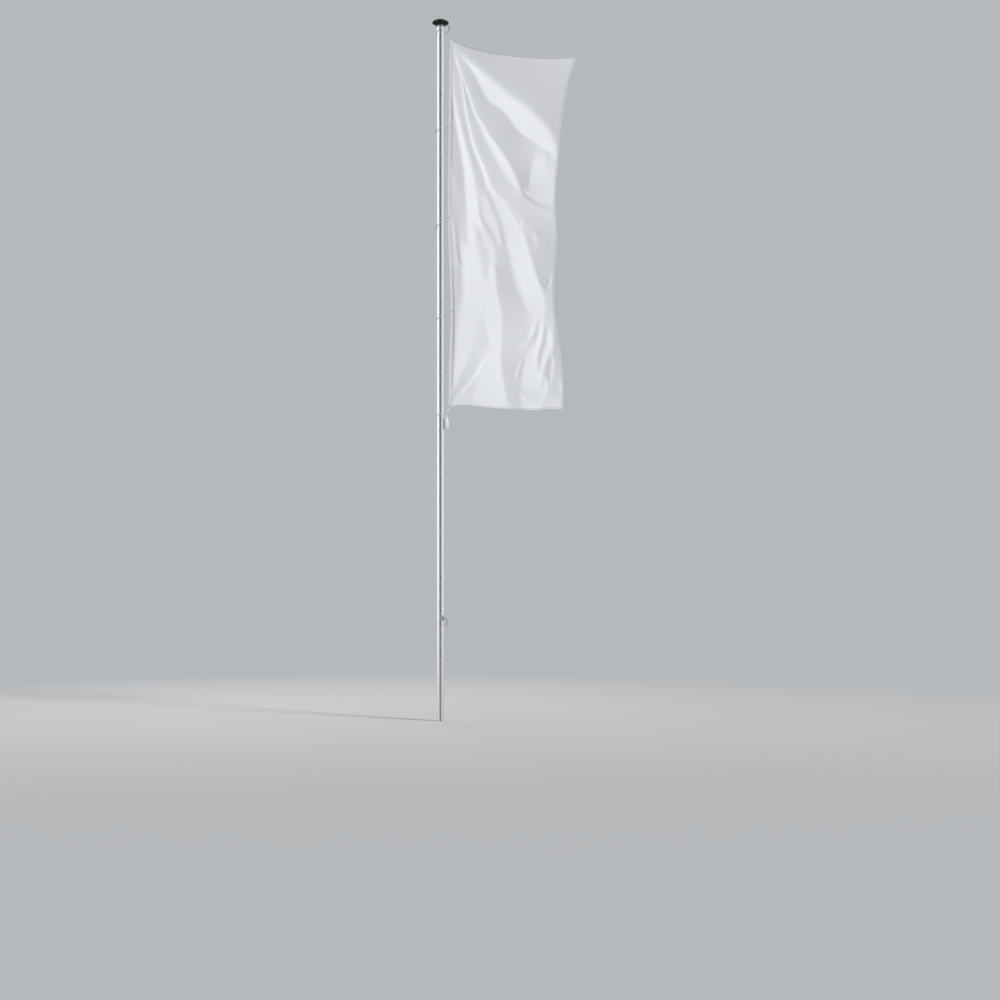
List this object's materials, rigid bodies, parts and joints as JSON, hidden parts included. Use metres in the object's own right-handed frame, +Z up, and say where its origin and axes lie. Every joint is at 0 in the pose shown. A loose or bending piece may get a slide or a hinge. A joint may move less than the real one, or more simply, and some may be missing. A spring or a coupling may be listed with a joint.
{
  "type": "flagpole",
  "caption": "Tall tubular flagpole with a front groove, turning mushroom masthead, inner halyard, rope lock, and a portrait flag held by cord loops and a corner weight.",
  "frame": {"origin": "centre of the mast's foot, on the flat closed end at ground level", "axes": "+Z up the mast, +X towards the flying edge of the flag, the groove faces -Y"},
  "size_m": [1.5505, 0.177, 7.547],
  "materials": {
    "anodised_tube": "satin natural anodised",
    "cast_fitting": "cast, tumbled",
    "lock_housing": "grey powder coat",
    "steel_bright": "stainless, brushed",
    "cap_plastic": "moulded, fine grain",
    "washer_plastic": "plain",
    "roller_plastic": "turned",
    "halyard_rope": "braided",
    "loop_rope": "braided",
    "hook_plastic": "moulded white",
    "flag_fabric": "satin polyester",
    "tape_webbing": "woven webbing",
    "weight_fabric": "coated canvas"
  },
  "bodies": {
    "mast": {"mast_tube": "anodised_tube", "foot_plug": "cast_fitting", "head_socket": "cast_fitting", "bearing_washer": "washer_plastic", "lock_plate": "anodised_tube", "lock_body": "lock_housing", "lock_barrel": "steel_bright", "lock_screws": "steel_bright", "halyard_tail": "halyard_rope", "tail_knot": "halyard_rope"},
    "masthead": {"cap": "cap_plastic", "stem": "steel_bright", "sheave": "roller_plastic", "sheave_axle": "steel_bright", "outlet_roller": "roller_plastic", "roller_axle": "steel_bright", "head_rope": "halyard_rope"},
    "flag_set": {"flag_cloth": "flag_fabric", "hoist_tape": "tape_webbing", "top_eyelet": "steel_bright", "top_hook": "hook_plastic", "top_ring": "steel_bright", "top_loop": "loop_rope", "upper_eyelet": "steel_bright", "upper_hook": "hook_plastic", "upper_ring": "steel_bright", "upper_loop": "loop_rope", "middle_eyelet": "steel_bright", "middle_hook": "hook_plastic", "middle_ring": "steel_bright", "middle_loop": "loop_rope", "lower_eyelet": "steel_bright", "lower_hook": "hook_plastic", "lower_ring": "steel_bright", "lower_loop": "loop_rope", "bottom_eyelet": "steel_bright", "bottom_hook": "hook_plastic", "bottom_ring": "steel_bright", "bottom_loop": "loop_rope", "flag_weight": "weight_fabric", "halyard_end": "halyard_rope"}
  },
  "joints": [
    {"name": "masthead_turn", "type": "hinge", "parent": "mast", "child": "masthead", "pos_m": [0, 0, 7.48], "axis": [0, 0, 1], "continuous": true},
    {"name": "flag_hoist", "type": "slide", "parent": "masthead", "child": "flag_set", "axis": [0, 0, 1], "range_m": [-1.85, 0], "deforming": ["halyard_end"]}
  ]
}
